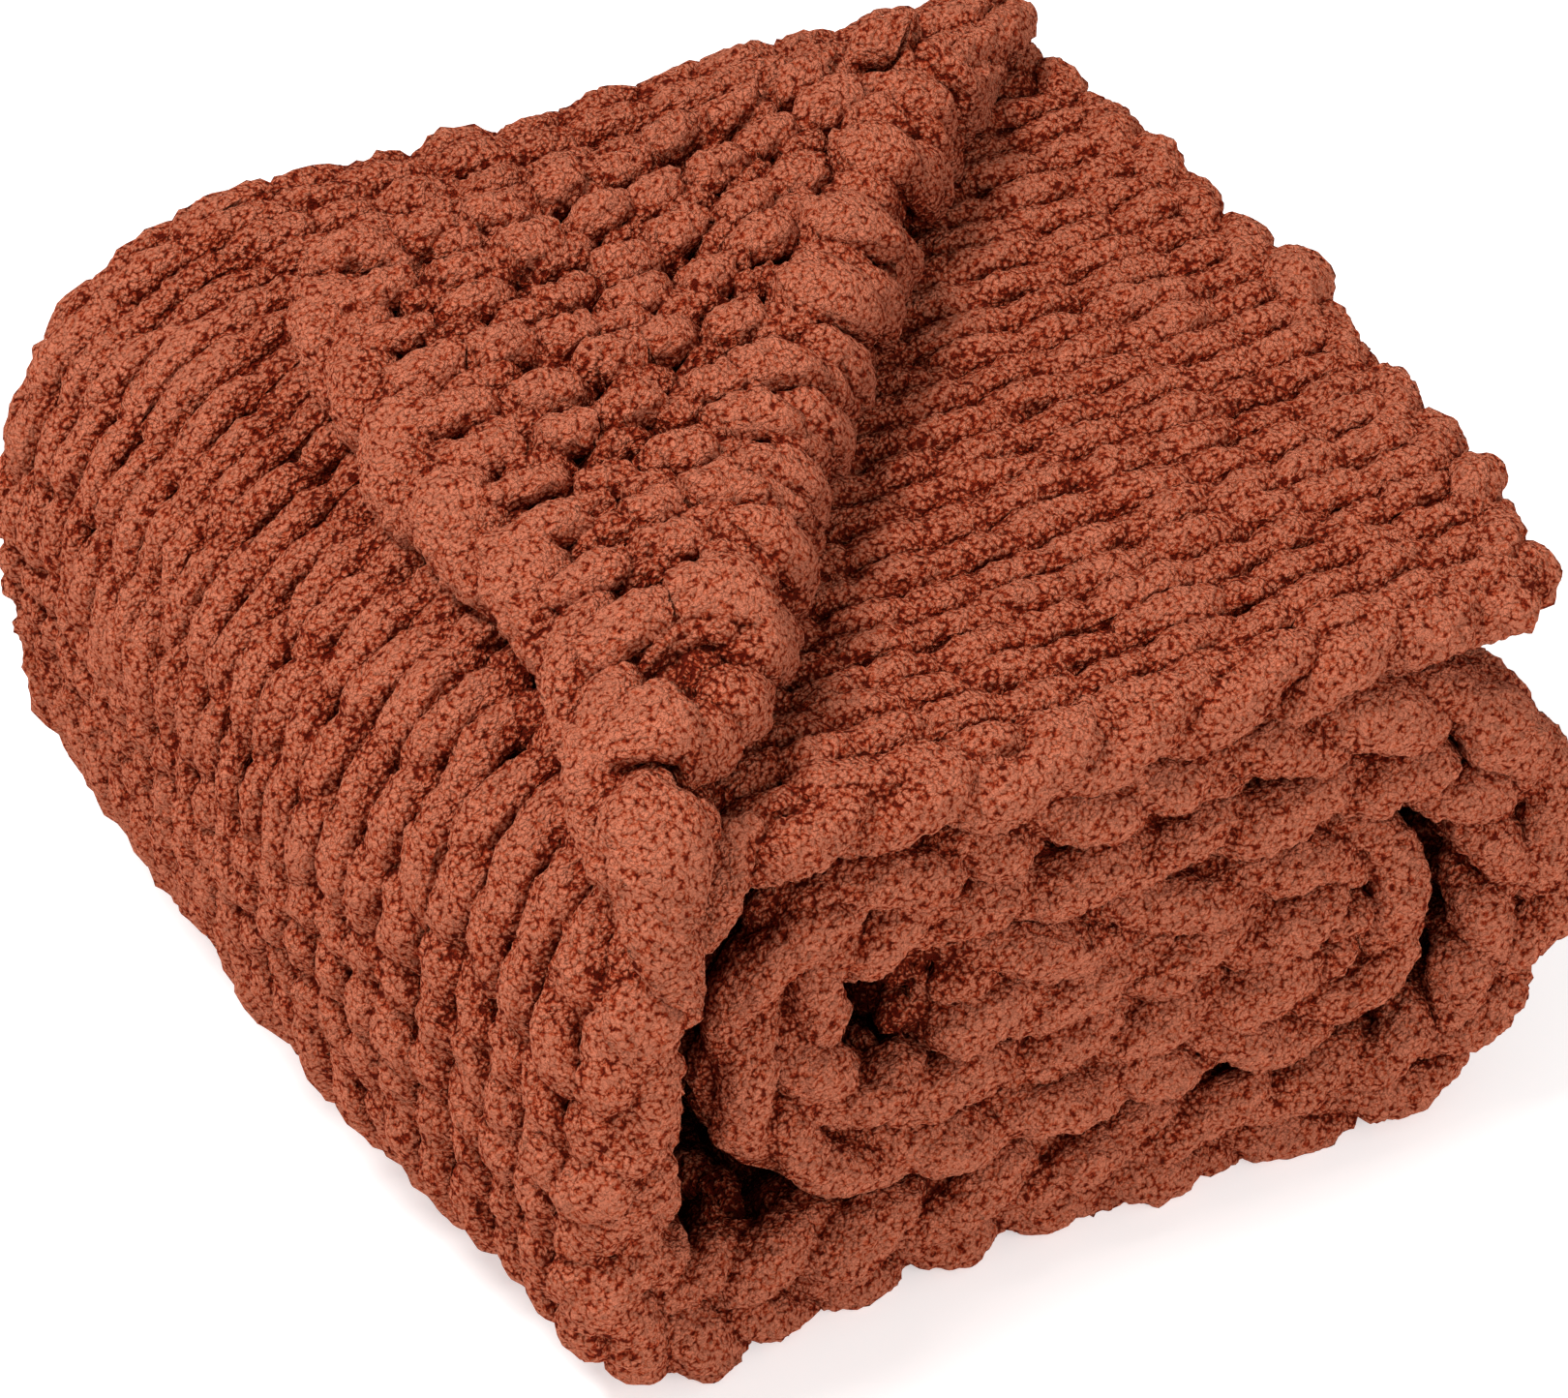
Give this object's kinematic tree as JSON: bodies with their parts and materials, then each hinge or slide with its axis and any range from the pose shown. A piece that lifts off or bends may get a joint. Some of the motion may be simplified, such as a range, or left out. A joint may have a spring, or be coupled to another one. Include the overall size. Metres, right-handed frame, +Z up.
{
  "type": "folded knit blanket",
  "caption": "Chunky chenille knit blanket, doubled and wrapped into a soft square stack with one corner turned back over the top.",
  "frame": {"origin": "on the floor, under the middle of the folded blanket", "axes": "+Z up; the blanket wraps round +Y, which runs from the open front end to the folded back; +X runs from the left wall to the cast-off end"},
  "size_m": [0.5237, 0.5118, 0.3265],
  "materials": {
    "chenille": "matt terracotta chenille pile"
  },
  "bodies": {
    "root": {"blanket": "chenille"}
  },
  "joints": []
}
